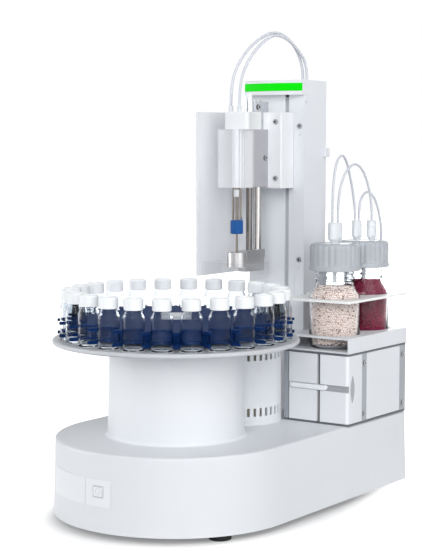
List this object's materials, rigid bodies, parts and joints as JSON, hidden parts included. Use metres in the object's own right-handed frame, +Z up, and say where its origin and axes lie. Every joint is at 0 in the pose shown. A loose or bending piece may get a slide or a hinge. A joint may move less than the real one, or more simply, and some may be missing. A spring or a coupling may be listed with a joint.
{
  "type": "autosampler",
  "caption": "Benchtop vial autosampler: round-nosed base, rotating vial carousel on a drum, lift tower with needle head and hold-down foot, and a gas-drying box with bottles.",
  "frame": {"origin": "under the middle of the base, at the level of the feet", "axes": "+Z up, +Y to the rear where the tower stands, +X to the drying box's side"},
  "size_m": [0.2584, 0.403, 0.5131],
  "materials": {
    "body_white": "moulded, fine satin",
    "sheet_white": "satin powder coat",
    "cast_white": "painted casting, satin",
    "box_white": "moulded, satin",
    "frame_grey": "satin powder coat",
    "disc_grey": "anodised, satin",
    "plate_steel": "brushed",
    "foot_rubber": "matt",
    "panel_film": "printed film, satin",
    "key_film": "moulded, satin",
    "board_green": "coated laminate",
    "inlet_black": "moulded",
    "bare_aluminium": "machined",
    "bright_steel": "ground and polished",
    "bush_steel": "turned",
    "foot_steel": "machined",
    "screw_steel": "turned",
    "motor_black": "satin",
    "gear_brass": "machined",
    "rack_blue": "machined, satin",
    "vial_glass": "clear",
    "vial_cap_white": "moulded, translucent",
    "septum_rubber": "matt",
    "insulation_wool": "mineral wool",
    "light_green": "lit diffuser",
    "guard_clear": "clear polymer",
    "guard_frosted": "frosted polymer",
    "fitting_white": "moulded",
    "knob_blue": "moulded",
    "bottle_clear": "clear",
    "desiccant": "round beads",
    "cap_grey": "moulded, ribbed",
    "hose_clear": "clear polymer tube"
  },
  "bodies": {
    "machine": {"base_housing": "body_white", "base_plate": "plate_steel", "rubber_feet": "foot_rubber", "label_panel": "panel_film", "control_board": "board_green", "power_inlet": "inlet_black", "pedestal_shell": "body_white", "drive_bracket": "bare_aluminium", "carousel_bearing": "bright_steel", "carousel_motor": "motor_black", "oven_housing": "sheet_white", "oven_insulation": "insulation_wool", "oven_block": "bare_aluminium", "tower_cover": "sheet_white", "tower_back": "sheet_white", "tower_cap": "body_white", "status_light": "light_green", "cover_screws": "screw_steel", "linear_rail": "bright_steel", "lift_motor": "motor_black", "side_shield": "sheet_white", "clear_guard": "guard_clear", "box_frame": "frame_grey", "corner_cover": "box_white", "side_panel": "box_white", "gas_pump": "motor_black", "bottle_tray": "sheet_white", "retaining_plate": "sheet_white", "bottle_glass": "bottle_clear", "bottle_beads": "desiccant", "cap_ports": "fitting_white", "gas_tube_front": "hose_clear", "gas_tube_middle": "hose_clear", "gas_tube_rear": "hose_clear", "head_hose_left": "hose_clear", "head_hose_right": "hose_clear"},
    "touch_key": {"touch_key": "key_film"},
    "carousel": {"carousel_hub": "bare_aluminium", "carousel_disc": "disc_grey", "rack_lower_star": "rack_blue", "rack_upper_star": "rack_blue", "vials": "vial_glass", "vial_caps": "vial_cap_white", "septa": "septum_rubber"},
    "pinion": {"drive_pinion": "gear_brass"},
    "lead_screw": {"lead_screw": "bright_steel"},
    "head": {"lift_slider": "bare_aluminium", "head_bracket": "cast_white", "head_screws": "screw_steel", "needle_guard": "guard_frosted", "needle_tubes": "bright_steel", "head_fittings": "fitting_white", "rod_bushes": "bush_steel"},
    "needle_knob": {"needle_knob": "knob_blue"},
    "hold_down": {"guide_rods": "bright_steel", "hold_down_foot": "foot_steel"},
    "left_door": {"left_door": "box_white", "door_handle": "box_white"},
    "cap_front": {"cap_front": "cap_grey"},
    "cap_rear": {"cap_rear": "cap_grey"}
  },
  "joints": [
    {"name": "carousel_spin", "type": "hinge", "parent": "machine", "child": "carousel", "pos_m": [0, -0.069, 0.15], "axis": [0, 0, 1], "continuous": true},
    {"name": "pinion_spin", "type": "hinge", "parent": "machine", "child": "pinion", "pos_m": [0, -0.109, 0.15], "axis": [0, 0, 1], "continuous": true},
    {"name": "head_lift", "type": "slide", "parent": "machine", "child": "head", "axis": [0, 0, 1], "range_m": [-0.0495, 0], "deforming": ["head_hose_left", "head_hose_right"]},
    {"name": "lead_turn", "type": "hinge", "parent": "machine", "child": "lead_screw", "pos_m": [-0.012, 0.142, 0.25], "axis": [0, 0, 1], "range_deg": [-2240, 10]},
    {"name": "foot_slide", "type": "slide", "parent": "head", "child": "hold_down", "axis": [0, 0, 1], "range_m": [0, 0.0355]},
    {"name": "needle_knob_turn", "type": "hinge", "parent": "head", "child": "needle_knob", "pos_m": [0, 0.041, 0.298], "axis": [0, 0, 1], "range_deg": [0, 360]},
    {"name": "key_press", "type": "slide", "parent": "machine", "child": "touch_key", "axis": [0, 1, 0], "range_m": [0, 0.001], "stiffness_N_per_m": 600},
    {"name": "door_swing", "type": "hinge", "parent": "machine", "child": "left_door", "pos_m": [0.0537, 0.0683, 0.125], "axis": [0, 0, -1], "range_deg": [0, 85]},
    {"name": "cap_front_turn", "type": "hinge", "parent": "machine", "child": "cap_front", "pos_m": [0.0884, 0.1024, 0.26], "axis": [0, 0, 1], "range_deg": [0, 360]},
    {"name": "cap_rear_turn", "type": "hinge", "parent": "machine", "child": "cap_rear", "pos_m": [0.0884, 0.1655, 0.26], "axis": [0, 0, 1], "range_deg": [0, 360]}
  ],
  "couplings": [
    {"joint": "pinion_spin", "follows": "carousel_spin", "ratio": -3},
    {"joint": "lead_turn", "follows": "head_lift", "rad_per_m": 785.4},
    {"joint": "foot_slide", "follows": "head_lift", "ratio": -0.715}
  ]
}
